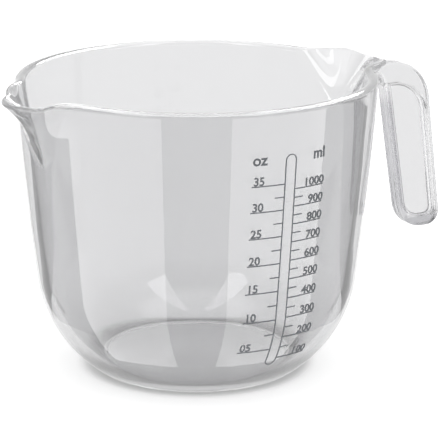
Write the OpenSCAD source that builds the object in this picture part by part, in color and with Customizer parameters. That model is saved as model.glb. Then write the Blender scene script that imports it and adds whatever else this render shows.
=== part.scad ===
/* [Bowl] */
// Height of the jug from the table to the top of its rim
jug_h = 122.5; // [100:0.5:160]
// Radius of the round rim, measured outside
rim_r = 74; // [62:0.5:90]
// How much smaller the radius of the foot is than that of the rim
base_in = 32; // [24:0.5:36]
// Thickness of the moulded side wall
wall_t = 4.6; // [3:0.1:6]
// Thickness of the floor
floor_t = 3; // [2:0.1:5]
// Height of the foot ring below the floor
foot_h = 0.6; // [0.4:0.1:2]
// Width of the foot ring
foot_w = 3; // [2:0.1:5]
// Height at which the side starts to curve in towards the base
corner_h = 38.6; // [30:0.2:46]
// Radius of the slight outward bow of the side
side_arc_r = 1560; // [1000:10:2400]
// Lean of the side at the rim, in degrees from upright
rim_lean = 3.9; // [2:0.1:6]

/* [Spout and flare] */
// Distance from the rim in to the upright axis of each conical flare
axis_in = 7; // [3:0.5:10]
// Thickness of the wall of the spout and of the handle's flare
flare_t = 2.2; // [1.4:0.1:3.5]
// Slope of each flare's keel, in degrees from upright
keel_slope = 45; // [40:1:50]
// Distance that the spout reaches out past the rim
spout_out = 13.2; // [10:0.1:24]
// How far the spout's lip falls below the rim
spout_drop = 3; // [1:0.1:5]
// Length over which the spout's lip falls
spout_fall = 9.5; // [5:0.1:14]
// Length over which the spout's lip runs level, out to its tip
spout_level = 6; // [1:0.1:8]
// Distance that the handle's flare reaches out past the rim
root_out = 15; // [10:0.1:20]
// How far the lip of the handle's flare falls below the rim
root_drop = 1.8; // [0.5:0.1:4]
// Length over which the lip of the handle's flare falls
root_fall = 6; // [3:0.1:12]
// Length over which the lip of the handle's flare runs level, out to its tip
root_level = 1; // [0.5:0.1:8]

/* [Handle] */
// Width of the handle across its flange
grip_w = 6; // [4:0.1:10]
// Thickness of the thin web inside the flange
web_t = 2; // [1:0.1:3.5]
// Thickness of the flange on the side that faces the jug
inner_flange_t = 3.6; // [2:0.1:5]
// Thickness of the flange on the side away from the jug
outer_flange_t = 2.7; // [2:0.1:4.5]
// Thickness of the flange at the handle's free end
end_flange_t = 4.3; // [2:0.1:6]
// Distance from the rim out to the handle's farthest point
grip_out = 47.2; // [42:0.2:60]
// Width of the handle, seen from its side, at its free end
grip_depth = 22; // [20:0.2:26]
// Depth of the handle's top below the rim
grip_drop = 4.5; // [3:0.1:8]
// Length of the handle from its top to its free end
grip_l = 74.6; // [62:0.2:90]
// Lean of the handle's inner edge, in degrees from upright
inner_lean = 9.1; // [5:0.1:11]
// Lean of the handle's outer edge, in degrees from upright
outer_lean = 7.3; // [4:0.1:9]
// Radius of the handle's shoulder
shoulder_r = 19.5; // [15:0.5:22]
// Radius of the corner between the handle's free end and its inner edge
end_inner_r = 13; // [9:0.5:14]
// Radius of the corner between the handle's free end and its outer edge
end_outer_r = 6; // [5:0.5:8]
// Thickness of the neck that joins the handle to the flare
neck_t = 3.6; // [2.5:0.1:5]
// Radius of the fillet under the neck
neck_fillet_r = 5.5; // [3:0.5:7]
// Depth of the solid shoulder above the web
crown_t = 10; // [6:0.5:14]
// Radius of the web's outer top corner
web_shoulder_r = 15; // [11:0.5:17]

/* [Printed scale] */
// Width of a printed line
line_w = 0.45; // [0.3:0.05:0.8]
// Half the width of the column between the two scales
column_half_w = 2.5; // [1.5:0.1:4]
// Length of a full mark, from the column outwards
long_mark = 13.7; // [8:0.1:16]
// Length of a half-step mark
short_mark = 3.9; // [2:0.1:7]
// Height left free between the highest mark and the rim
head_room = 28; // [22:1:45]
// Height of the column's top above the highest mark
column_rise = 12; // [6:0.5:18]
// Height of the column's lower end above the table
column_foot = 14.5; // [10:0.5:18]
// Step of the full marks of the metric scale, in millilitres
metric_step = 100; // [50:50:200]
// Step of the full marks of the ounce scale, in fluid ounces
ounce_step = 5; // [5:1:10]

/* [Hidden] */

// Overrun of every cut past the face that it goes through
cut = 1;
// Thickness of the ink
ink_t = 0.15;
// Edge of the cube that holds one litre
litre_edge = 100;
// A millilitre and a fluid ounce, as shares of a litre
ml_share = 1 / 1000;
ounce_share = 0.0295735;
// Turn of the print's skin round the wall, in degrees
print_turn = 60;
// Straight pieces in the side's long arc and in every short arc, and faces of a full turn
side_steps = 10;
arc_steps = 16;
turn_faces = 128;
// Slices that the bowl's contents are summed over
fill_slices = 160;

// Places of the foot's edge, the flares' axes and the handle, all carried by the rim
base_r = rim_r - base_in;
flare_axis = rim_r - axis_in;
grip_reach = rim_r + grip_out;
// Half the width of a block that reaches past everything
beyond = 2 * grip_reach;

// Points on an arc about c, from angle a0 to angle a1, leaving out the first few
function arc(c, r, a0, a1, n = arc_steps, first = 0) =
    [for (i = [first:n]) c + r * [cos(a0 + (a1 - a0) * i / n), sin(a0 + (a1 - a0) * i / n)]];
function reversed(v) = [for (i = [len(v) - 1:-1:0]) v[i]];

// The rim is a half round as thick as the wall, and the side's arc runs smoothly into it
lip_r = wall_t / 2;
lip_c = [rim_r - lip_r, jug_h - lip_r];
side_c = lip_c - (side_arc_r - lip_r) * [cos(rim_lean), -sin(rim_lean)];

// The corner's arc runs smoothly out of the side's arc and ends at the foot's edge
corner_lean = asin((side_c.y - corner_h) / side_arc_r);
corner_out = [cos(corner_lean), -sin(corner_lean)];
to_foot = side_c + side_arc_r * corner_out - [base_r, 0];
corner_r = (to_foot * to_foot) / (2 * (corner_out * to_foot));
corner_c = side_c + (side_arc_r - corner_r) * corner_out;

// Outline of the side, moved inwards by depth, from height z up to the rim's half round
function side_outline(depth, z) = concat(
    arc(corner_c, corner_r - depth, -asin((corner_c.y - z) / (corner_r - depth)), -corner_lean),
    arc(side_c, side_arc_r - depth, -corner_lean, -rim_lean, side_steps, 1));

// Radius of the bowl's inside at height z
function bowed_r(c, r, z) = c.x + sqrt(r * r - (z - c.y) * (z - c.y));
inner_corner_h = corner_c.y - (corner_r - wall_t) * sin(corner_lean);
function inside_r(z) =
    z < inner_corner_h ? bowed_r(corner_c, corner_r - wall_t, z) : bowed_r(side_c, side_arc_r - wall_t, z);
floor_top = foot_h + floor_t;
floor_r = inside_r(floor_top);
foot_inner_r = base_r - foot_w;

// Contents of the bowl in litres against their height, and the height that holds a number of litres
slice_h = (jug_h - floor_top) / fill_slices;
function slice_r(i) = inside_r(floor_top + (i + 1 / 2) * slice_h);
function slice_litres(i) = PI * pow(slice_r(i), 2) * slice_h / pow(litre_edge, 3);
fill = [for (i = 0, v = 0; i <= fill_slices; v = v + slice_litres(i), i = i + 1) [v, floor_top + i * slice_h]];
function level(litres) = lookup(litres, fill);
top_litres = lookup(jug_h - head_room, [for (row = fill) [row[1], row[0]]]);
metric_litres = metric_step * ml_share;
ounce_litres = ounce_step * ounce_share;
metric_n = floor(top_litres / metric_litres);
ounce_n = floor(top_litres / ounce_litres);
column_top = level(max(metric_n * metric_litres, ounce_n * ounce_litres)) + column_rise;

// Height of the point of a flare's outer cone, which its lip meets at its tip
function flare_point(out, drop) = jug_h - drop - (axis_in + out) / tan(keel_slope);
spout_point = flare_point(spout_out, spout_drop);
root_point = flare_point(root_out, root_drop);

// The handle in side view: x from the jug's axis, y from the table
grip_top = jug_h - grip_drop;
grip_end = grip_top - grip_l;
// Distance of each edge from the jug's axis at height z, moved into the handle by depth
function outer_x(z, depth = 0) = grip_reach - end_outer_r + (end_outer_r - depth) / cos(outer_lean)
    - (z - grip_end - end_outer_r) * tan(outer_lean);
function inner_x(z, depth = 0) = grip_reach - grip_depth + depth / cos(inner_lean)
    - (z - grip_end - end_inner_r) * tan(inner_lean);
// Centre of a round of radius r at height z that touches the edge, moved in by depth
function by_outer(r, z, depth = 0) = [outer_x(z, depth + r), z];
function by_inner(r, z, depth = 0) = [inner_x(z, depth + r), z];
neck_under = grip_top - neck_t;
web_top = grip_top - crown_t;
web_end = grip_end + end_flange_t;
web_inner_r = end_inner_r - inner_flange_t;
web_outer_r = end_outer_r - outer_flange_t;

module turned(outline) {
    rotate_extrude($fn = turn_faces) polygon(outline);
}

// Everything inside the bowl's outer face, up to the top of the rim
module bowl_core() {
    turned(concat([[0, 0]], side_outline(0, 0), arc(lip_c, lip_r, -rim_lean, 90), [[0, jug_h]]));
}

// Upright cone of a flare on the handle's side, from its point up to height top
module flare_cone(point, top) {
    translate([flare_axis, 0, point])
        cylinder(h = top - point, r1 = 0, r2 = (top - point) * tan(keel_slope), $fn = turn_faces);
}

// The inside of a flare, which leaves the thickness of its wall
module flare_hollow(point) {
    flare_cone(point + flare_t / sin(keel_slope), jug_h + cut);
}

// Everything above height zero
module upper_half() {
    translate([-beyond, -beyond, 0]) cube([2 * beyond, 2 * beyond, beyond]);
}

// Everything above a lip that falls by drop over the length fall and then runs level out to the tip
module above_lip(out, drop, fall, level) {
    intersection() {
        translate([rim_r + out - level - fall, 0, jug_h]) rotate([0, atan(drop / fall), 0]) upper_half();
        translate([0, 0, jug_h - drop]) upper_half();
    }
}

module flare(point, out, drop, fall, level) {
    difference() {
        flare_cone(point, jug_h);
        flare_hollow(point);
        bowl_core();
        above_lip(out, drop, fall, level);
    }
}

// Stands a side-view outline up in the handle's plane, w wide
module upright(w) {
    translate([0, w / 2, 0]) rotate([90, 0, 0]) linear_extrude(w) children();
}

// Side view of the whole handle, which runs on into the flare
module grip_outline() {
    polygon(concat(
        arc(by_outer(shoulder_r, grip_top - shoulder_r), shoulder_r, 90, outer_lean),
        arc(by_outer(end_outer_r, grip_end + end_outer_r), end_outer_r, outer_lean, -90),
        arc(by_inner(end_inner_r, grip_end + end_inner_r), end_inner_r, -90, inner_lean - 180),
        arc(by_inner(-neck_fillet_r, neck_under - neck_fillet_r), neck_fillet_r, inner_lean, 90),
        [[flare_axis, neck_under], [flare_axis, grip_top]]));
}

// Side view of the web inside the flange
module web_outline() {
    polygon(concat(
        [[inner_x(web_top, inner_flange_t), web_top]],
        arc(by_outer(web_shoulder_r, web_top - web_shoulder_r, outer_flange_t), web_shoulder_r, 90, outer_lean),
        arc(by_outer(web_outer_r, web_end + web_outer_r, outer_flange_t), web_outer_r, outer_lean, -90),
        arc(by_inner(web_inner_r, web_end + web_inner_r, inner_flange_t), web_inner_r, -90, inner_lean - 180)));
}

// Prints a flat drawing, in x and height, on the front of the wall
module printed() {
    intersection() {
        rotate([0, 0, -90 - print_turn / 2]) rotate_extrude(angle = print_turn, $fn = turn_faces)
            polygon(concat(
                side_outline(-ink_t, column_foot - cut),
                reversed(side_outline(0, column_foot - cut))));
        rotate([90, 0, 0]) linear_extrude(beyond) children();
    }
}

// Outline of the long column with round ends, half_w to each side of its middle
module column_outline(half_w) {
    bottom = column_foot + column_half_w;
    top = column_top - column_half_w;
    translate([0, bottom]) circle(half_w, $fn = turn_faces / 2);
    translate([0, top]) circle(half_w, $fn = turn_faces / 2);
    translate([-half_w, bottom]) square([2 * half_w, top - bottom]);
}

// Lines at n full steps and the half steps between them, to the right of the column
module marks(step, n) {
    for (i = [2:2 * n])
        translate([column_half_w, level(i * step / 2) - line_w / 2])
            square([i % 2 == 0 ? long_mark : short_mark, line_w]);
}

module bowl() {
    color("#DCDFE0", 0.6) difference() {
        turned(concat(
            [[foot_inner_r, foot_h], [foot_inner_r, 0]],
            side_outline(0, 0),
            arc(lip_c, lip_r, -rim_lean, 180 - rim_lean, arc_steps, 1),
            reversed(side_outline(wall_t, floor_top))));
        flare_hollow(root_point);
        mirror([1, 0, 0]) flare_hollow(spout_point);
    }
}

module floor() {
    color("#D0D4D6", 0.6) translate([0, 0, foot_h])
        cylinder(h = floor_t, r1 = foot_inner_r, r2 = floor_r, $fn = turn_faces);
}

module spout() {
    color("#E1E4E5", 0.6) mirror([1, 0, 0]) flare(spout_point, spout_out, spout_drop, spout_fall, spout_level);
}

module handle_root() {
    color("#E1E4E5", 0.6) flare(root_point, root_out, root_drop, root_fall, root_level);
}

module handle_rim() {
    color("#D4D8DA", 0.6) difference() {
        upright(grip_w) difference() {
            grip_outline();
            web_outline();
        }
        flare_cone(root_point, jug_h);
    }
}

module handle_web() {
    color("#E8EAEB", 0.6) upright(web_t) web_outline();
}

module scale_column() {
    color("#3A3E42") printed() difference() {
        column_outline(column_half_w);
        column_outline(column_half_w - line_w);
    }
}

module ounce_marks() {
    color("#3A3E42") printed() mirror([1, 0, 0]) marks(ounce_litres, ounce_n);
}

module millilitre_marks() {
    color("#3A3E42") printed() marks(metric_litres, metric_n);
}

bowl();
floor();
spout();
handle_root();
handle_rim();
handle_web();
scale_column();
ounce_marks();
millilitre_marks();
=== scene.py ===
# %% [markdown]
# # A clear plastic measuring jug
# The real jug is one injection moulding in clear plastic, with a scale printed on it in dark ink. The
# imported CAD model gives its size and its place. This lesson makes the moulding again as one closed mesh,
# because clear plastic shows every inner face: separate solids that only touch would show a mirror-like
# seam where they meet.

# %% Load the frame
import bpy
import math
import numpy as np
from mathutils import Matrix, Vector


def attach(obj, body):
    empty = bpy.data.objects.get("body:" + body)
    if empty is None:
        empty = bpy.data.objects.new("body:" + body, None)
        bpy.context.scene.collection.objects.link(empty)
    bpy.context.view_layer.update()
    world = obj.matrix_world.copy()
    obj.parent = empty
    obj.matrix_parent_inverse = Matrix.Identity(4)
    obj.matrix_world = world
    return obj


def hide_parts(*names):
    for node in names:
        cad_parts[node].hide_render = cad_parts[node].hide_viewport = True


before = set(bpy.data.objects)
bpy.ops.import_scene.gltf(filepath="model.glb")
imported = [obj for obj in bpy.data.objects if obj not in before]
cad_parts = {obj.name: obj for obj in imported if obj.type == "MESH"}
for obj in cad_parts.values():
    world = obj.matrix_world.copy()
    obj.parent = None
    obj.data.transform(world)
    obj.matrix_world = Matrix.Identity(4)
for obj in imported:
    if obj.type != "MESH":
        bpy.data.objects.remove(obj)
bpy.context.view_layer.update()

MM = 0.001

# %% [markdown]
# ## Sizes
# The sizes are those of the CAD model, in millimetres. The bowl's side is a long, nearly flat arc that runs
# smoothly into a tighter corner arc, and the corner ends at the foot. Both arcs come from a few sizes that
# can be measured on the real jug, so nothing here is a list of points.

# %% Sizes of the bowl
JUG_H, RIM_R, BASE_R = 122.5, 74.0, 42.0
WALL, FLOOR_T = 4.6, 3.0
FOOT_H, FOOT_W = 0.6, 3.0       # the foot is a low ring round a shallow recess
FLOOR_TOP = FOOT_H + FLOOR_T
CORNER_H, SIDE_ARC_R = 38.6, 1560.0
RIM_LEAN = math.radians(3.9)
LIP_R = WALL / 2
SKIN = 0.03         # the outer face stays this far inside the CAD's, so that the ink lies on it and not in it

lip_c = (RIM_R - LIP_R, JUG_H - LIP_R)
side_c = (lip_c[0] - (SIDE_ARC_R - LIP_R) * math.cos(RIM_LEAN),
          lip_c[1] + (SIDE_ARC_R - LIP_R) * math.sin(RIM_LEAN))
corner_lean = math.asin((side_c[1] - CORNER_H) / SIDE_ARC_R)
out_x, out_z = math.cos(corner_lean), -math.sin(corner_lean)
to_foot = (side_c[0] + SIDE_ARC_R * out_x - BASE_R, side_c[1] + SIDE_ARC_R * out_z)
corner_r = (to_foot[0] ** 2 + to_foot[1] ** 2) / (2 * (out_x * to_foot[0] + out_z * to_foot[1]))
corner_c = (side_c[0] + (SIDE_ARC_R - corner_r) * out_x, side_c[1] + (SIDE_ARC_R - corner_r) * out_z)


def side_r(z, depth=SKIN):
    """Radius of the side at height z, moved in by depth."""
    z = np.asarray(z, float)
    upper = side_c[0] + np.sqrt((SIDE_ARC_R - depth) ** 2 - (z - side_c[1]) ** 2)
    lower = corner_c[0] + np.sqrt(np.maximum((corner_r - depth) ** 2 - (z - corner_c[1]) ** 2, 0))
    return np.where(z < corner_c[1] - (corner_r - depth) * math.sin(corner_lean), lower, upper)


print("corner radius", round(corner_r, 2), "rim inside", round(float(side_r(JUG_H, WALL)), 2))

# %% [markdown]
# ## The bowl's cross-section
# A lathe-like shape is quickest as a cross-section that is spun round. It runs from the middle of the
# underside, over the foot, up the outside, over the rim and down the inside to the middle of the floor. The
# rows are close together where the flares will be pushed out, and where the plastic is rounded, because
# clear plastic shows a coarse round as a row of bright and dark facets. The corner between wall and floor
# is crisp inside, as in the photograph: a fillet there would work as a lens and draw a bright ring round
# the floor.

# %% The cross-section, row by row
FLARE_Z = 92.0      # the flares start above this height
CORNER_ROWS, SIDE_ROWS, FLARE_ROWS, LIP_ROWS, FILLET_ROWS = 22, 8, 32, 16, 8
FOOT_EDGE = 0.5     # height where the round of the foot meets the side
FOOT_FLAT = 1.6     # from the base radius in to where the foot starts to round up
FOOT_CORNER = 0.3   # from the base radius in to the place that this round is drawn towards
STEP_IN, STEP_OUT = 1.0, 0.6        # the soft step of the recess, on both sides of the ring's inner edge
RECESS_ROW, FLOOR_ROW_R = 6.0, 14.0     # two more rows, which keep the two flat faces flat in shading


def wall_rows(depth, low):
    """Points on one face of the wall, from height low up to the rim's half round."""
    r = corner_r - depth
    a0 = math.asin((corner_c[1] - low) / r)
    rows = [corner_c[1] - r * math.sin(a0 + (corner_lean - a0) * i / CORNER_ROWS) for i in range(CORNER_ROWS)]
    rows += list(np.linspace(corner_c[1] - r * math.sin(corner_lean), FLARE_Z, SIDE_ROWS, endpoint=False))
    rows += list(np.linspace(FLARE_Z, lip_c[1] + (depth - LIP_R) * math.sin(RIM_LEAN), FLARE_ROWS + 1))
    return [(float(side_r(z, depth)), z) for z in rows]


def bend(a, b, c, n=FILLET_ROWS):
    """A soft corner from a to c that is drawn towards b, without its two ends."""
    return [tuple((1 - t) ** 2 * p + 2 * t * (1 - t) * q + t * t * s for p, q, s in zip(a, b, c))
            for t in (i / n for i in range(1, n))]


outer, inner = wall_rows(SKIN, FOOT_EDGE), wall_rows(WALL, FLOOR_TOP)
ring_in, ring_out = BASE_R - FOOT_W, BASE_R - FOOT_FLAT
foot = [(0.0, FOOT_H), (ring_in - RECESS_ROW, FOOT_H), (ring_in - STEP_IN, FOOT_H)]
foot += bend(foot[-1], (ring_in, FOOT_H / 2), (ring_in + STEP_OUT, 0))
foot += [(ring_in + STEP_OUT, 0), (ring_out, 0)]
foot += bend(foot[-1], (BASE_R - FOOT_CORNER, 0), outer[0])
half_round = [math.pi * i / LIP_ROWS - RIM_LEAN for i in range(1, LIP_ROWS)]
lip = [(lip_c[0] + LIP_R * math.cos(a), lip_c[1] + LIP_R * math.sin(a)) for a in half_round]
section = foot + outer + lip + inner[::-1] + [(FLOOR_ROW_R, FLOOR_TOP), (0.0, FLOOR_TOP)]
print(len(section), "points in the cross-section")

# %% Spin it
TURN_STEPS = 480
bpy.ops.object.select_all(action="DESELECT")
bpy.ops.mesh.primitive_plane_add(size=2 * MM)
moulding = bpy.context.object
moulding.name = "moulding"
bpy.ops.object.mode_set(mode="EDIT")
bpy.ops.mesh.select_all(action="SELECT")
bpy.ops.mesh.merge(type="CENTER")
bpy.ops.transform.translate(value=(section[0][0] * MM, 0, section[0][1] * MM))
for (r0, z0), (r1, z1) in zip(section, section[1:]):
    bpy.ops.mesh.extrude_region_move(TRANSFORM_OT_translate={"value": ((r1 - r0) * MM, 0, (z1 - z0) * MM)})
bpy.ops.mesh.select_all(action="SELECT")
bpy.ops.mesh.spin(steps=TURN_STEPS, angle=2 * math.pi, center=(0, 0, 0), axis=(0, 0, 1))
bpy.ops.mesh.select_all(action="SELECT")
bpy.ops.mesh.remove_doubles(threshold=0.002 * MM)
bpy.ops.mesh.normals_make_consistent(inside=False)
bpy.ops.object.mode_set(mode="OBJECT")
print("bowl", len(moulding.data.vertices), "vertices")

# %% [markdown]
# ## The spout and the flare of the handle
# Each is an upright 45 degree cone about an axis just inside the rim, merged into the wall with a soft
# radius and only half as thick as the wall. A Boolean would leave a hard crease and a lip to be rounded
# again, so the rows that are already there are pushed outwards, like clay: at each turn and height the new
# radius is where a soft union of wall and cone ends. The union has no simple formula for that radius, so it
# is found by halving.

# %% Soft union of wall and cone
AXIS = 67.0         # the cones' axes, from the jug's axis
FLARE_T = 2.2
SLOPE = math.radians(45)
# each value is for the spout, then for the handle's flare
POINT = (99.3, 98.7)            # height of the cone's point
BLEND = (9.0, 6.0)              # how widely the cone runs into the wall
DROP = (2.7, 1.6)               # how far the lip falls
FALL_FROM, FALL_TO = (71.0, 81.0), (81.0, 88.0)     # reaches between which it falls
FAR_R = 110.0       # no flare reaches this far
HALVINGS = 40       # enough to find its place to far below a micron


def smooth(x):
    x = np.clip(x, 0, 1)
    return x * x * (3 - 2 * x)


def soft_min(a, b, k):
    """The smaller of two distances, with a soft change over k."""
    h = np.clip(k - np.abs(a - b), 0, None) / k
    return np.minimum(a, b) - h * h * k / 4


def union_r(turn, z, depth, point, blend):
    """Radius at which the soft union of wall and cone ends, at this turn from the cone's own direction."""
    wall = side_r(z, depth)
    low, high = wall - 0.01, np.full_like(wall, FAR_R)
    for _ in range(HALVINGS):
        r = (low + high) / 2
        to_cone = np.hypot(r * np.cos(turn) - AXIS, r * np.sin(turn)) - (z - point) * math.tan(SLOPE)
        inside = soft_min(r - wall, to_cone * math.cos(SLOPE), blend) < 0
        low, high = np.where(inside, r, low), np.where(inside, high, r)
    return (low + high) / 2


# %% Push the rows out
COLUMN_PULL = 0.25      # how strongly the columns are drawn together at the flares, where the lip bends most
# the rim's lip starts to turn into a flare's this far inside the rim's radius, and takes this width for it
LIP_CHANGE_IN, LIP_CHANGE_W = 1.5, 6.0
NEAR_ZERO = 1e-3


def push(co):
    """Moves the rows of the spun bowl out to the flares. co is an array of points in millimetres."""
    r, z = np.hypot(co[:, 0], co[:, 1]), co[:, 2]
    phi = np.arctan2(co[:, 1], co[:, 0])
    # which face each point is on
    lip_a = np.arctan2(z - lip_c[1], r - lip_c[0]) + RIM_LEAN
    on_lip = (z > lip_c[1] - 1) & (lip_a > NEAR_ZERO) & (lip_a < math.pi - NEAR_ZERO)
    outside = r > side_r(np.clip(z, FLOOR_TOP, None), LIP_R)
    phi = phi - COLUMN_PULL * np.sin(2 * phi)
    radial = np.stack([np.cos(phi), np.sin(phi), np.zeros_like(phi)], 1)
    up = np.array([[0, 0, 1.0]])
    at_root = np.abs(phi) < math.pi / 2
    turn = np.where(at_root, phi, np.arctan2(np.sin(phi), -np.cos(phi)))
    point, blend, drop, start, end = (
        np.where(at_root, v[1], v[0]) for v in (POINT, BLEND, DROP, FALL_FROM, FALL_TO))
    in_point = point + FLARE_T / math.sin(SLOPE)
    # the lip at this turn: half its thickness, its lean and how far it has fallen
    top = np.full_like(r, JUG_H - LIP_R)
    r_out, r_in = union_r(turn, top, SKIN, point, blend), union_r(turn, top, WALL, in_point, blend)
    share = smooth((r_out - RIM_R + LIP_CHANGE_IN) / LIP_CHANGE_W)
    half = LIP_R + (FLARE_T / 2 - LIP_R) * share
    lean = RIM_LEAN + (SLOPE - RIM_LEAN) * share
    drop = drop * smooth((np.cos(turn) * (r_out + r_in) / 2 - start) / (end - start)) * (share > 0)
    middle = JUG_H - drop - half
    z_out, z_in = middle - half * np.sin(lean), middle + half * np.sin(lean)
    r_out, r_in = union_r(turn, z_out, SKIN, point, blend), union_r(turn, z_in, WALL, in_point, blend)
    # rows of the two faces, stretched between the start of the flares and the lip
    z_end = lip_c[1] + np.where(outside, SKIN - LIP_R, LIP_R) * math.sin(RIM_LEAN)
    new_z = FLARE_Z + (z - FLARE_Z) * (np.where(outside, z_out, z_in) - FLARE_Z) / (z_end - FLARE_Z)
    new_r = np.where(outside, union_r(turn, new_z, SKIN, point, blend),
                     union_r(turn, new_z, WALL, in_point, blend))
    low = z <= FLARE_Z
    new = radial * np.where(low, r, new_r)[:, None] + up * np.where(low, z, new_z)[:, None]
    # rows of the lip: half an ellipse from the outer face over the crest to the inner face
    p_out, p_in = radial * r_out[:, None] + up * z_out[:, None], radial * r_in[:, None] + up * z_in[:, None]
    centre, arm = (p_out + p_in) / 2, (p_out - p_in) / 2
    away = centre * [[1, 1, 0]] - np.stack([np.where(at_root, AXIS, -AXIS), 0 * phi, 0 * phi], 1)
    away /= np.linalg.norm(away, axis=1)[:, None]
    outward = radial * (1 - share)[:, None] + away * share[:, None]
    outward /= np.linalg.norm(outward, axis=1)[:, None]
    rise = (up * np.cos(lean)[:, None] + outward * np.sin(lean)[:, None]) * half[:, None]
    over = centre + arm * np.cos(lip_a)[:, None] + rise * np.sin(lip_a)[:, None]
    return np.where(on_lip[:, None], over, new)


points = np.empty(len(moulding.data.vertices) * 3)
moulding.data.vertices.foreach_get("co", points)
points = push(points.reshape(-1, 3) / MM) * MM
moulding.data.vertices.foreach_set("co", points.ravel())
moulding.data.update()
print("reach of the spout", round(points[:, 0].min() / MM, 2))
print("reach of the handle's flare", round(points[:, 0].max() / MM, 2))

# %% [markdown]
# ## The handle
# A hook in side view, cut from a thick outline, with a panel sunk into each side so that a thin web is left
# inside a flange. Its edges are rounded with a bevel and it is joined to the flare, so that the plastic is
# one body.

# %% The handle's outline
GRIP_W, WEB_T = 6.0, 2.0
INNER_FLANGE, OUTER_FLANGE, END_FLANGE = 3.6, 2.7, 4.3
GRIP_REACH, GRIP_DEPTH, GRIP_DROP, GRIP_L = 121.2, 22.0, 4.5, 74.6
INNER_LEAN, OUTER_LEAN = math.radians(9.1), math.radians(7.3)
SHOULDER_R, END_INNER_R, END_OUTER_R = 19.5, 13.0, 6.0
NECK_T, NECK_FILLET_R, CROWN_T, WEB_SHOULDER_R = 3.6, 5.5, 10.0, 15.0
EDGE_R, EDGE_STEPS = 1.3, 6     # the outer flange is only 2.7 mm wide, so no rounder edge fits on it
GRIP_TOP = JUG_H - GRIP_DROP
GRIP_END = GRIP_TOP - GRIP_L


def by_outer(radius, z, depth=0.0):
    """Centre of a round at height z that touches the handle's outer edge, moved in by depth."""
    return (GRIP_REACH - END_OUTER_R + (END_OUTER_R - depth - radius) / math.cos(OUTER_LEAN)
            - (z - GRIP_END - END_OUTER_R) * math.tan(OUTER_LEAN), z)


def by_inner(radius, z, depth=0.0):
    """The same for the edge on the side of the bowl."""
    return (GRIP_REACH - GRIP_DEPTH + (depth + radius) / math.cos(INNER_LEAN)
            - (z - GRIP_END - END_INNER_R) * math.tan(INNER_LEAN), z)


def round_points(centre, radius, a0, a1, n=26):
    """Points of an arc in the handle's plane, from angle a0 to a1."""
    angles = [a0 + (a1 - a0) * i / n for i in range(n + 1)]
    return [(centre[0] + radius * math.cos(a), centre[1] + radius * math.sin(a)) for a in angles]


quarter_turn = math.pi / 2
neck_under = GRIP_TOP - NECK_T
web_top, web_end = GRIP_TOP - CROWN_T, GRIP_END + END_FLANGE
web_inner_r, web_outer_r = END_INNER_R - INNER_FLANGE, END_OUTER_R - OUTER_FLANGE
# the neck ends in the middle of the flare's sloping wall
bury = AXIS - POINT[1] - FLARE_T * math.sin(SLOPE)
grip_outline = (
    round_points(by_outer(SHOULDER_R, GRIP_TOP - SHOULDER_R), SHOULDER_R, quarter_turn, OUTER_LEAN, 48)
    + round_points(by_outer(END_OUTER_R, GRIP_END + END_OUTER_R), END_OUTER_R, OUTER_LEAN, -quarter_turn)
    + round_points(by_inner(END_INNER_R, GRIP_END + END_INNER_R), END_INNER_R,
                   -quarter_turn, INNER_LEAN - math.pi)
    + round_points(by_inner(-NECK_FILLET_R, neck_under - NECK_FILLET_R), NECK_FILLET_R,
                   INNER_LEAN, quarter_turn)
    + [(neck_under + bury, neck_under), (GRIP_TOP + bury, GRIP_TOP)])
panel_outline = (
    [(by_inner(0, web_top, INNER_FLANGE)[0], web_top)]
    + round_points(by_outer(WEB_SHOULDER_R, web_top - WEB_SHOULDER_R, OUTER_FLANGE), WEB_SHOULDER_R,
                   quarter_turn, OUTER_LEAN)
    + round_points(by_outer(web_outer_r, web_end + web_outer_r, OUTER_FLANGE), web_outer_r,
                   OUTER_LEAN, -quarter_turn)
    + round_points(by_inner(web_inner_r, web_end + web_inner_r, INNER_FLANGE), web_inner_r,
                   -quarter_turn, INNER_LEAN - math.pi))
print(len(grip_outline), "points round the grip and", len(panel_outline), "round its panel")


def slab(name, outline, y0, y1):
    """A flat outline in the handle's plane, filled and pulled out from y0 to y1."""
    bpy.ops.object.select_all(action="DESELECT")
    bpy.ops.mesh.primitive_plane_add(size=2 * MM)
    piece = bpy.context.object
    piece.name = name
    bpy.ops.object.mode_set(mode="EDIT")
    bpy.ops.mesh.select_all(action="SELECT")
    bpy.ops.mesh.merge(type="CENTER")
    bpy.ops.transform.translate(value=(outline[0][0] * MM, y0 * MM, outline[0][1] * MM))
    for (x0, z0), (x1, z1) in zip(outline, outline[1:]):
        step = ((x1 - x0) * MM, 0, (z1 - z0) * MM)
        bpy.ops.mesh.extrude_region_move(TRANSFORM_OT_translate={"value": step})
    bpy.ops.mesh.select_all(action="SELECT")
    bpy.ops.mesh.edge_face_add()
    bpy.ops.mesh.extrude_region_move(TRANSFORM_OT_translate={"value": (0, (y1 - y0) * MM, 0)})
    bpy.ops.mesh.select_all(action="SELECT")
    bpy.ops.mesh.normals_make_consistent(inside=False)
    bpy.ops.object.mode_set(mode="OBJECT")
    return piece


def cut_or_join(piece, tool, operation):
    """Applies a Boolean of piece with tool, and removes the tool."""
    step = piece.modifiers.new("bool", "BOOLEAN")
    step.operation, step.solver, step.object = operation, "EXACT", tool
    bpy.context.view_layer.objects.active = piece
    bpy.ops.object.modifier_apply(modifier=step.name)
    bpy.data.objects.remove(tool)


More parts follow.
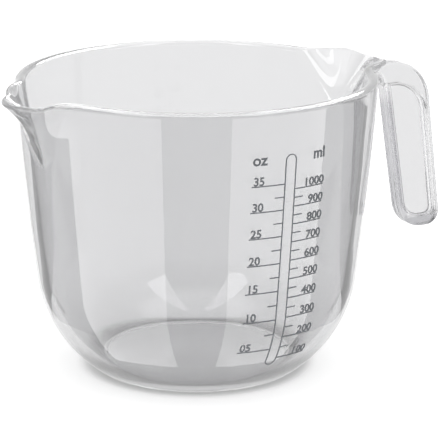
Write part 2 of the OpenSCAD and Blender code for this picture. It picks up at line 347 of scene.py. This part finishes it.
PAST_FACE = 1.0     # the panel's cutter runs this far past the handle's face
handle = slab("handle", grip_outline, -GRIP_W / 2, GRIP_W / 2)
for side in (-1, 1):
    cutter = slab("panel", panel_outline, side * WEB_T / 2, side * (GRIP_W / 2 + PAST_FACE))
    cut_or_join(handle, cutter, "DIFFERENCE")
edge_round = handle.modifiers.new("bevel", "BEVEL")
edge_round.width, edge_round.segments = EDGE_R * MM, EDGE_STEPS
edge_round.limit_method, edge_round.angle_limit = "ANGLE", math.radians(50)
bpy.context.view_layer.objects.active = handle
bpy.ops.object.modifier_apply(modifier=edge_round.name)
cut_or_join(moulding, handle, "UNION")
print("moulding", len(moulding.data.vertices), "vertices")
bpy.ops.object.select_all(action="DESELECT")
moulding.select_set(True)
bpy.context.view_layer.objects.active = moulding
bpy.ops.object.shade_smooth_by_angle(angle=math.radians(32))
flats = moulding.modifiers.new("flats", "WEIGHTED_NORMAL")
flats.keep_sharp = True
bpy.ops.object.modifier_apply(modifier=flats.name)
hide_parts("bowl", "floor", "spout", "handle_root", "handle_rim", "handle_web")
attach(moulding, "root")

# %% [markdown]
# ## The figures of the scale
# The marks are CAD nodes, because their heights are facts of the bowl: each one stands where the bowl holds
# the volume that it names. The figures stand on them. They are set flat as text, made a mesh, drawn narrow
# as on the real print and then wrapped round the wall. The heights come from the same rule as the marks:
# the contents are summed slice by slice, and read back at each volume.

# %% Heights of the marks
SLICES = 160
slice_h = (JUG_H - FLOOR_TOP) / SLICES
slice_z = FLOOR_TOP + slice_h * (np.arange(SLICES) + 0.5)
filled = np.concatenate([[0.0], np.cumsum(math.pi * side_r(slice_z, WALL) ** 2 * slice_h)]) / 1e6
edges_z = FLOOR_TOP + slice_h * np.arange(SLICES + 1)
OUNCE = 0.0295735


def level(litres):
    return float(np.interp(litres, filled, edges_z))


print("marks at", [round(level(v / 1000), 2) for v in range(100, 1001, 100)])

# %% Set and wrap the figures
INK_T, LINE_W = 0.12, 0.45


def figures(name, labels, height, narrow, align):
    """One object of flat labels (words, place along the wall, height), wrapped round the wall's front."""
    made = []
    for words, along, z in labels:
        bpy.ops.object.select_all(action="DESELECT")
        bpy.ops.object.text_add()
        text = bpy.context.object
        text.data.body, text.data.align_x = words, align
        # any thickness will do here, because it becomes INK_T below
        text.data.extrude, text.data.resolution_u, text.data.offset = 0.05, 4, BOLD
        bpy.ops.object.convert(target="MESH")
        mesh = bpy.context.object.data
        co = np.empty(len(mesh.vertices) * 3)
        mesh.vertices.foreach_get("co", co)
        co = co.reshape(-1, 3)
        co[:, 0] = along + co[:, 0] * narrow * height / CAP
        co[:, 1] = z + co[:, 1] * height / CAP
        co[:, 2] = INK_T * (co[:, 2] > 0)
        r = side_r(co[:, 1], 0.0)
        turn = co[:, 0] / r
        r = r + co[:, 2]
        co = np.stack([r * np.sin(turn), -r * np.cos(turn), co[:, 1]], 1) * MM
        mesh.vertices.foreach_set("co", co.ravel())
        mesh.update()
        made.append(bpy.context.object)
    bpy.ops.object.select_all(action="DESELECT")
    for piece in made:
        piece.select_set(True)
    bpy.context.view_layer.objects.active = made[0]
    bpy.ops.object.join()
    joined = bpy.context.object
    joined.name = name
    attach(joined, "root")
    print(name, len(joined.data.vertices), "vertices")
    return joined


CAP = 0.73          # height of a figure in Blender's own font, at size 1
BOLD = 0.022        # how much each stroke is widened
# places along the wall from the middle of the scale: the first two are middles, and the last is a right end
OUNCE_X, ML_X, MILLILITRE_END = -13.4, 13.6, 16.9
CAPTION_Z = 101.2
ounce_figures = figures("ounce_figures", [
    ("%02d" % n, OUNCE_X, level(n * OUNCE) + LINE_W) for n in range(5, 36, 5)], 3.5, 0.98, "CENTER")
millilitre_figures = figures("millilitre_figures", [
    (str(n), MILLILITRE_END, level(n / 1000) + LINE_W) for n in range(100, 1001, 100)], 3.4, 1.12, "RIGHT")
unit_captions = figures("unit_captions", [
    ("oz", OUNCE_X, CAPTION_Z), ("ml", ML_X, CAPTION_Z)], 4.6, 0.98, "CENTER")

# %% [markdown]
# ## Materials
# Two finishes are enough, because the real jug has two: the plastic and the ink. A clear solid is not a
# colour but a way that light goes through: the surface bends and mirrors it, and the plastic takes a little
# of it away.

# %% Helpers for materials
def linear(code):
    """Turns an sRGB hex colour into linear light."""
    rgb = [int(code[i:i + 2], 16) / 255 for i in (1, 3, 5)]
    return tuple(c / 12.92 if c <= 0.04045 else ((c + 0.055) / 1.055) ** 2.4 for c in rgb) + (1.0,)


def node(tree, kind, links=(), **settings):
    """Adds one node, with settings by attribute or socket name and links as (output socket, input name)."""
    n = tree.nodes.new(kind)
    for key, value in settings.items():
        if hasattr(n, key):
            setattr(n, key, value)
        else:
            n.inputs[key.replace("_", " ")].default_value = value
    for source, name in links:
        tree.links.new(source, n.inputs[name])
    return n


def new_material(name):
    m = bpy.data.materials.new(name)
    m.use_nodes = True
    m.node_tree.nodes.clear()
    return m


# %% [markdown]
# ### Clear moulded plastic
# The jug is moulded in a clear styrene plastic such as SAN, which is faintly grey. The surface copies the
# polished steel of the mould, so it is a smooth dielectric, and the tint of the surface gives the grey of
# one wall. Absorption inside adds a little more where light runs a long way through the plastic, as in the
# rim. Moulding leaves slow waves in the surface, where the plastic cooled unevenly, and use leaves fine
# wipe marks: a slight bump and a slight change of roughness give both.

# %% Clear moulded plastic
plastic = new_material("clear_moulded_san")
t = plastic.node_tree
place = node(t, "ShaderNodeTexCoord")
# slow waves about 30 mm long: they bend the highlights a little, as on real mouldings
WAVES_PER_M = 33.0
waves = node(t, "ShaderNodeTexNoise", [(place.outputs["Object"], "Vector")], Scale=WAVES_PER_M, Detail=1.0)
bump = node(t, "ShaderNodeBump", [(waves.outputs[0], "Height")], Strength=1.0, Distance=0.00012)
# wipe marks: streaks 0.5 mm wide that run round the wall, so they are drawn out along X and Y
STREAKS_PER_M = (60, 60, 2000)
streaks = node(t, "ShaderNodeMapping", [(place.outputs["Object"], "Vector")], Scale=STREAKS_PER_M)
marks = node(t, "ShaderNodeTexNoise", [(streaks.outputs[0], "Vector")], Scale=1.0, Detail=2.0)
gloss = node(t, "ShaderNodeMapRange", [(marks.outputs[0], "Value")], To_Min=0.0, To_Max=0.04)
print("waves of", round(1000 / WAVES_PER_M), "mm and streaks of", 1000 / STREAKS_PER_M[2], "mm")

# %% [markdown]
# ### The handle's grey band
# In the photograph the inner flange and the lower end of the handle are an even grey band, while the web
# beside them is clear. The band is made a little matt, as narrow mould edges are often polished less,
# and its greyer tint is painted shade. It is drawn from the handle's own sizes: how far a place lies
# across the leaning flange, and whether it is below the web's panel.

# %% Where the band is
BAND_FADE = (107, 98)       # heights between which the band starts, under the flare
HANDLE_FROM = (90, 91)      # only the handle reaches as far out as this
part = node(t, "ShaderNodeSeparateXYZ", [(place.outputs["Object"], 0)])
across = node(t, "ShaderNodeMath", [(part.outputs["Z"], 0), (part.outputs["X"], 2)], operation="MULTIPLY_ADD")
across.inputs[1].default_value = math.tan(INNER_LEAN)
grip_x, grip_z = by_inner(0, web_top)
band_from = grip_x + grip_z * math.tan(INNER_LEAN)
band_to = band_from + INNER_FLANGE / math.cos(INNER_LEAN)
# each soft step is 0 before its start and 1 after its end
steps = [node(t, "ShaderNodeMapRange", [(value, "Value")], interpolation_type="SMOOTHSTEP",
              From_Min=start * MM, From_Max=end * MM).outputs[0]
         for value, start, end in ((across.outputs[0], band_from - 1.0, band_from - 0.3),
                                   (across.outputs[0], band_to + 0.5, band_to - 0.1),
                                   (part.outputs["Z"], *BAND_FADE),
                                   (part.outputs["Z"], web_end + 0.5, web_end - 0.1),
                                   (part.outputs["X"], *HANDLE_FROM))]
# the flange is where the first three steps are 1, and the low end is where the last two are
flange, low_end = steps[0], steps[3]
for step in steps[1:3]:
    flange = node(t, "ShaderNodeMath", [(flange, 0), (step, 1)], operation="MULTIPLY").outputs[0]
low_end = node(t, "ShaderNodeMath", [(low_end, 0), (steps[4], 1)], operation="MULTIPLY").outputs[0]
# the band is a little matt, and its grey is painted shade
matt_and_painted_shade_band = node(t, "ShaderNodeMath", [(flange, 0), (low_end, 1)], operation="MAXIMUM").outputs[0]
print("band from", round(band_from, 2), "to", round(band_to, 2), "across the leaning flange")

# %% Surface and inside of the plastic
BAND_ROUGHNESS = 0.10
matt = node(t, "ShaderNodeMath", [(matt_and_painted_shade_band, 0), (gloss.outputs[0], 2)], operation="MULTIPLY_ADD")
matt.inputs[1].default_value = BAND_ROUGHNESS
# the first grey is the plastic's own faint grey, and the second is painted shade on the handle's band
tint_and_painted_shade = node(t, "ShaderNodeValToRGB", [(matt_and_painted_shade_band, "Fac")])
tint_and_painted_shade.color_ramp.elements[0].color, tint_and_painted_shade.color_ramp.elements[1].color = linear("#DEDEDF"), linear("#B9B9BC")
surface = node(t, "ShaderNodeBsdfPrincipled", [
    (bump.outputs[0], "Normal"), (matt.outputs[0], "Roughness"), (tint_and_painted_shade.outputs["Color"], "Base Color")],
    IOR=1.5, Transmission_Weight=1.0)
grey = node(t, "ShaderNodeVolumeAbsorption", Density=0.25, Color=(0.31, 0.32, 0.33, 1))
node(t, "ShaderNodeOutputMaterial", [(surface.outputs[0], "Surface"), (grey.outputs[0], "Volume")])
moulding.data.materials.clear()
moulding.data.materials.append(plastic)
print(plastic.name, "has", len(t.nodes), "nodes")

# %% [markdown]
# ### Screen-printed ink
# The scale is pushed through a fine mesh onto the finished jug, so the ink lies on the surface as a matt
# dark grey film. The mesh leaves it a little uneven in tone and in height, which keeps it from looking like
# a hole.

# %% Screen-printed ink
ink = new_material("screen_printed_ink")
t = ink.node_tree
place = node(t, "ShaderNodeTexCoord")
# the mesh has about 8 threads to the millimetre, drawn here at 0.5 mm, because finer would not show
THREADS_PER_M = 2000.0
mesh_marks = node(t, "ShaderNodeTexNoise", [(place.outputs["Object"], "Vector")],
                  Scale=THREADS_PER_M, Detail=1.0)
tone = node(t, "ShaderNodeValToRGB", [(mesh_marks.outputs[0], "Fac")])
tone.color_ramp.elements[0].color, tone.color_ramp.elements[1].color = linear("#3A3D41"), linear("#55595D")
bump = node(t, "ShaderNodeBump", [(mesh_marks.outputs[0], "Height")], Strength=0.4, Distance=0.00003)
surface = node(t, "ShaderNodeBsdfPrincipled", [(tone.outputs[0], "Base Color"), (bump.outputs[0], "Normal")],
               Roughness=0.55)
node(t, "ShaderNodeOutputMaterial", [(surface.outputs[0], "Surface")])
printed = [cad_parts[name] for name in ("scale_column", "ounce_marks", "millilitre_marks")]
printed += [ounce_figures, millilitre_figures, unit_captions]
for piece in printed:
    piece.data.materials.clear()
    piece.data.materials.append(ink)
print(ink.name, "is on", len(printed), "pieces")

# %% [markdown]
# ## Camera
# The camera stands where the photograph was taken: 30 degrees round from the scale towards the spout, a
# little above the rim, and about a metre away. The distance and the heights come from fitting the rim, the
# sides and the base.

# %% Camera
TURN, ELEV, DIST, AIM_Z = math.radians(30.1), math.radians(15.43), 994.0, 60.9
PIXELS, FOCAL, SENSOR = 440, 2400, 36
AIM_PIXEL = (196.6, 219.7)      # where the point that the camera aims at lies in the picture
right = Vector((math.cos(TURN), -math.sin(TURN), 0))
back = Vector((math.sin(TURN), math.cos(TURN), 0))
to_camera = -back * math.cos(ELEV) + Vector((0, 0, math.sin(ELEV)))
camera_data = bpy.data.cameras.new("camera")
camera = bpy.data.objects.new("camera", camera_data)
bpy.context.scene.collection.objects.link(camera)
camera_data.sensor_width, camera_data.lens = SENSOR, SENSOR * FOCAL / PIXELS
camera_data.shift_x = (PIXELS / 2 - AIM_PIXEL[0]) / PIXELS
camera_data.shift_y = (AIM_PIXEL[1] - PIXELS / 2) / PIXELS
camera_data.clip_end = 20
camera.location = (Vector((0, 0, AIM_Z)) + to_camera * DIST) * MM
camera.rotation_euler = (-to_camera).to_track_quat("-Z", "Y").to_euler()
bpy.context.scene.camera = camera
print("camera at", [round(v, 4) for v in camera.location])

# %% [markdown]
# ## Floor and studio
# Clear plastic has no look of its own: it shows the studio. The floor is white paper, which keeps the jug's
# shadow. The long pale panels in the front of the jug are two soft boxes, with a dark gap between them
# where the camera stands. The dark lines along its sides are places where the wall bends the view far
# outwards, past the lit backdrop. The reflections of a wall that leans outwards look down, so the boxes,
# the gap and the dark flags are laid out as cards on the table, as a product photographer does with white
# and black paper. The other lights hang above: two tall boxes give the lens-shaped highlights low in the
# bowl, and a wide light behind the jug and curved ones close above the rim draw the white line along the
# rim. Only mirrored or only bent light sees the cards.

# %% White paper floor
FLOOR_GLOW, SEEN_GLOW = 0.49, 0.62
bpy.ops.object.select_all(action="DESELECT")
bpy.ops.mesh.primitive_plane_add(size=8.0)
floor = bpy.context.object
floor.name = "pale_floor"
paper = new_material("white_paper_sweep")
t = paper.node_tree
diffuse = node(t, "ShaderNodeBsdfDiffuse", Color=linear("#D2D2D2"))
# where the camera sees the paper beside the jug, it glows a little more, so that it looks white
path = node(t, "ShaderNodeLightPath")
strength = node(t, "ShaderNodeMapRange", [(path.outputs["Is Camera Ray"], "Value")],
                To_Min=FLOOR_GLOW, To_Max=SEEN_GLOW)
glow = node(t, "ShaderNodeEmission", [(strength.outputs[0], "Strength")], Color=linear("#FFFFFF"))
both = node(t, "ShaderNodeAddShader", [(diffuse.outputs[0], 0), (glow.outputs[0], 1)])
node(t, "ShaderNodeOutputMaterial", [(both.outputs[0], "Surface")])
floor.data.materials.append(paper)
print("floor", [round(v, 2) for v in floor.dimensions])

# %% Cards on the table
CARD_Z = 0.4


def card(name, corners, tone, seen_by="reflection"):
    """A flat card that only mirrored light ("reflection", or "first reflection" for its first bounce only) or
    only bent light ("refraction") sees. Its corners are (to the right of the picture, away from the camera,
    and above the table where it doesn't lie on it), in millimetres."""
    bpy.ops.object.select_all(action="DESELECT")
    bpy.ops.mesh.primitive_circle_add(vertices=len(corners), radius=1, fill_type="NGON")
    sheet = bpy.context.object
    sheet.name = name
    for vertex, corner in zip(sheet.data.vertices, corners):
        across, deep, up = (*corner, CARD_Z)[:3]
        vertex.co = (right * across + back * deep + Vector((0, 0, up))) * MM
    sheet.data.update()
    sheet.visible_camera = sheet.visible_diffuse = sheet.visible_shadow = False
    sheet.visible_glossy, sheet.visible_transmission = seen_by != "refraction", seen_by == "refraction"
    surface = new_material(name + "_paper")
    t = surface.node_tree
    light = node(t, "ShaderNodeEmission", Color=linear("#FFFFFF"), Strength=tone)
    if seen_by == "first reflection":
        path = node(t, "ShaderNodeLightPath")
        later = node(t, "ShaderNodeMath", [(path.outputs["Ray Depth"], 0)], operation="GREATER_THAN")
        # a ray that has bounced once has a depth of 1
        later.inputs[1].default_value = 1.5
        clear = node(t, "ShaderNodeBsdfTransparent")
        light = node(t, "ShaderNodeMixShader", [
            (later.outputs[0], 0), (light.outputs[0], 1), (clear.outputs[0], 2)])
    node(t, "ShaderNodeOutputMaterial", [(light.outputs[0], "Surface")])
    sheet.data.materials.append(surface)


def around(radius, degrees, *up):
    """A place at this radius from the jug's axis, turned to the right from the camera's direction."""
    a = math.radians(degrees)
    return (radius * math.sin(a), -radius * math.cos(a), *up)


# %% Lay the cards
FAR, ROOM_END = 1600, 800
TALL_BOX_Z = 900
FOOT_OF_CARDS = 60      # the cards on the table start this far from the jug's axis
GAP_TURN, BOX_TURN = 9.3, 44        # turns where the gap and the soft boxes end there
gap_in = around(FOOT_OF_CARDS, GAP_TURN)
gap_lean = math.radians(22)
gap_far = (gap_in[0] + FAR * math.sin(gap_lean), gap_in[1] - FAR * math.cos(gap_lean))
card("camera_gap", [(-gap_in[0], gap_in[1]), gap_in, gap_far, (-gap_far[0], gap_far[1])], 1.1)
for side in (1, -1):
    box = [around(FOOT_OF_CARDS, a) for a in (BOX_TURN, 34, 22, GAP_TURN)]
    box += [gap_far, (FAR, -FAR / 2), (FAR, -90)]
    dim = [around(FOOT_OF_CARDS, BOX_TURN), (66, -44), (80, -20), (84, 10)]
    dim += [(84 + 0.34 * ROOM_END, ROOM_END), (FAR, ROOM_END), (FAR, -90)]
    # light that the sides of the bowl bend outwards by 38 to 78 degrees ends here
    bent = [(70 + d * math.sin(math.radians(a)), 30 + d * math.cos(math.radians(a)))
            for a, d in ((38, 4), (38, 400), (78, 400), (78, 4))]
    tall = [around(r, a, TALL_BOX_Z) for r, a in ((130, 32), (130, 56), (1300, 56), (1300, 32))]
    for name, corners, tone, seen_by in (("soft_box", box, 3.3, "reflection"),
                                         ("dim_room", dim, 0.45, "reflection"),
                                         ("dark_flag", bent, 0.36, "refraction"),
                                         ("tall_box", tall, 4.8, "reflection")):
        card(name, [(side * c[0], *c[1:]) for c in corners], tone, seen_by)

# %% Hang the lights and flags
RIM_LIGHT_Z, LIP_LIGHT_Z, TOP_FLAG_Z = 700, 145, 650
card("rim_light", [(x, y, RIM_LIGHT_Z) for x, y in ((-500, 350), (900, 350), (900, 900), (-500, 900))], 3.4)
# the curved lights leave out both flares, which would mirror them as white patches
for name, near, far, start, end in (("lip_light", 92, 60, -55, 100), ("lip_light_left", 82, 52, -160, -95)):
    card(name, [around(near, a, LIP_LIGHT_Z) for a in range(start, end + 1, 5)]
         + [around(far, a, LIP_LIGHT_Z) for a in range(end, start - 1, -5)], 8.0, "first reflection")
# the foot mirrors the overhead light into a bright ring: a grey sheet keeps that light out of the plastic
card("top_flag", [(x, y, TOP_FLAG_Z) for x, y in ((-450, 20), (450, 20), (450, 800), (-450, 800))],
     0.45, "refraction")
# a small upright flag keeps the soft box out of the handle's flat panel
card("handle_flag", [(168, -16, 15), (192, 25, 15), (192, 25, 100), (168, -16, 100)], 0.5)
print(sum(m.name.endswith("_paper") for m in bpy.data.materials), "kinds of card")

# %% [markdown]
# ### Contact shadow
# Soft light from everywhere leaves the contact shadow weaker than the photograph shows it. A ring of thin
# grey film, painted shadow that is darkest at the foot and gone within two finger widths, deepens it. Beside
# the jug the shadow is narrower and a little weaker than it is through the plastic, which gathers it.

# %% Contact shadow
FILM_Z, FILM_R = 0.3, 62
FILM_AMOUNT, SEEN_SHARE = 0.65, 0.82
FADE_END, SEEN_FADE_END = 58, 52        # the film is gone at these distances from the jug's axis
bpy.ops.object.select_all(action="DESELECT")
bpy.ops.mesh.primitive_circle_add(vertices=96, radius=FILM_R * MM, fill_type="NGON", location=(0, 0, 0))
shade = bpy.context.object
shade.name = "contact_shade"
for vertex in shade.data.vertices:
    vertex.co.z = FILM_Z * MM
shade.visible_diffuse = shade.visible_glossy = shade.visible_shadow = False
film = new_material("painted_shadow_film")
t = film.node_tree
place = node(t, "ShaderNodeTexCoord")
reach = node(t, "ShaderNodeVectorMath", [(place.outputs["Object"], 0)], operation="LENGTH")
path = node(t, "ShaderNodeLightPath")
fade_end, share = (
    node(t, "ShaderNodeMapRange", [(path.outputs["Is Camera Ray"], "Value")], To_Min=through, To_Max=beside)
    for through, beside in ((FADE_END * MM, SEEN_FADE_END * MM), (1.0, SEEN_SHARE)))
fade = node(t, "ShaderNodeMapRange", [(reach.outputs["Value"], "Value"), (fade_end.outputs[0], "From Max")],
            interpolation_type="SMOOTHERSTEP", From_Min=BASE_R * MM, To_Min=FILM_AMOUNT, To_Max=0.0)
outside = node(t, "ShaderNodeMath", [(reach.outputs["Value"], 0)], operation="GREATER_THAN")
outside.inputs[1].default_value = BASE_R * MM
amount = fade
for factor in (outside, share):
    amount = node(t, "ShaderNodeMath", [(amount.outputs[0], 0), (factor.outputs[0], 1)], operation="MULTIPLY")
clear = node(t, "ShaderNodeBsdfTransparent")
# this grey is painted shadow, laid on the floor round the foot
painted_shadow_film = node(t, "ShaderNodeEmission", Color=linear("#808080"), Strength=0.3)
film_mix = node(t, "ShaderNodeMixShader", [
    (amount.outputs[0], 0), (clear.outputs[0], 1), (painted_shadow_film.outputs[0], 2)])
node(t, "ShaderNodeOutputMaterial", [(film_mix.outputs[0], "Surface")])
shade.data.materials.append(film)
print("film from", BASE_R, "to", FADE_END, "mm, and to", SEEN_FADE_END, "mm where the camera sees it")

# %% [markdown]
# ### The room
# Beyond the cards the plastic sees the room itself, which is drawn as rings on the world: a white backdrop
# up to 25 degrees, a dim room above it, and a large soft box overhead. The camera sees plain white, as in
# the photograph.

# %% World
world = bpy.data.worlds.new("studio")
bpy.context.scene.world = world
world.use_nodes = True
t = world.node_tree
t.nodes.clear()
# the ramp's places are heights on a unit sphere, and its greys are half of the strengths
BACKDROP_TOP, DIM_FROM, DIM_TO, OVERHEAD_FROM = 0.42, 0.52, 0.78, 0.88
aim = node(t, "ShaderNodeTexCoord")
rise = node(t, "ShaderNodeSeparateXYZ", [(aim.outputs["Generated"], 0)])
rings = node(t, "ShaderNodeValToRGB", [(rise.outputs["Z"], "Fac")])
ramp = rings.color_ramp
ramp.elements[0].position, ramp.elements[0].color = BACKDROP_TOP, (0.5, 0.5, 0.5, 1)
ramp.elements[1].position, ramp.elements[1].color = OVERHEAD_FROM, (1.0, 1.0, 1.0, 1)
for height in (DIM_FROM, DIM_TO):
    ramp.elements.new(height).color = (0.15, 0.15, 0.15, 1)
studio = node(t, "ShaderNodeBackground", [(rings.outputs["Color"], "Color")], Strength=2.0)
white = node(t, "ShaderNodeBackground", Color=linear("#FFFFFF"), Strength=1.0)
path = node(t, "ShaderNodeLightPath")
mix = node(t, "ShaderNodeMixShader", [
    (path.outputs["Is Camera Ray"], 0), (studio.outputs[0], 1), (white.outputs[0], 2)])
node(t, "ShaderNodeOutputWorld", [(mix.outputs[0], "Surface")])
bpy.context.scene.view_settings.view_transform = "Standard"
# light crosses many faces inside the clear rim and handle, and turns black where its path is cut short
BOUNCES = 250
cycles = bpy.context.scene.cycles
cycles.max_bounces = cycles.transmission_bounces = BOUNCES
cycles.glossy_bounces = cycles.transparent_max_bounces = BOUNCES
print(BOUNCES, "bounces")
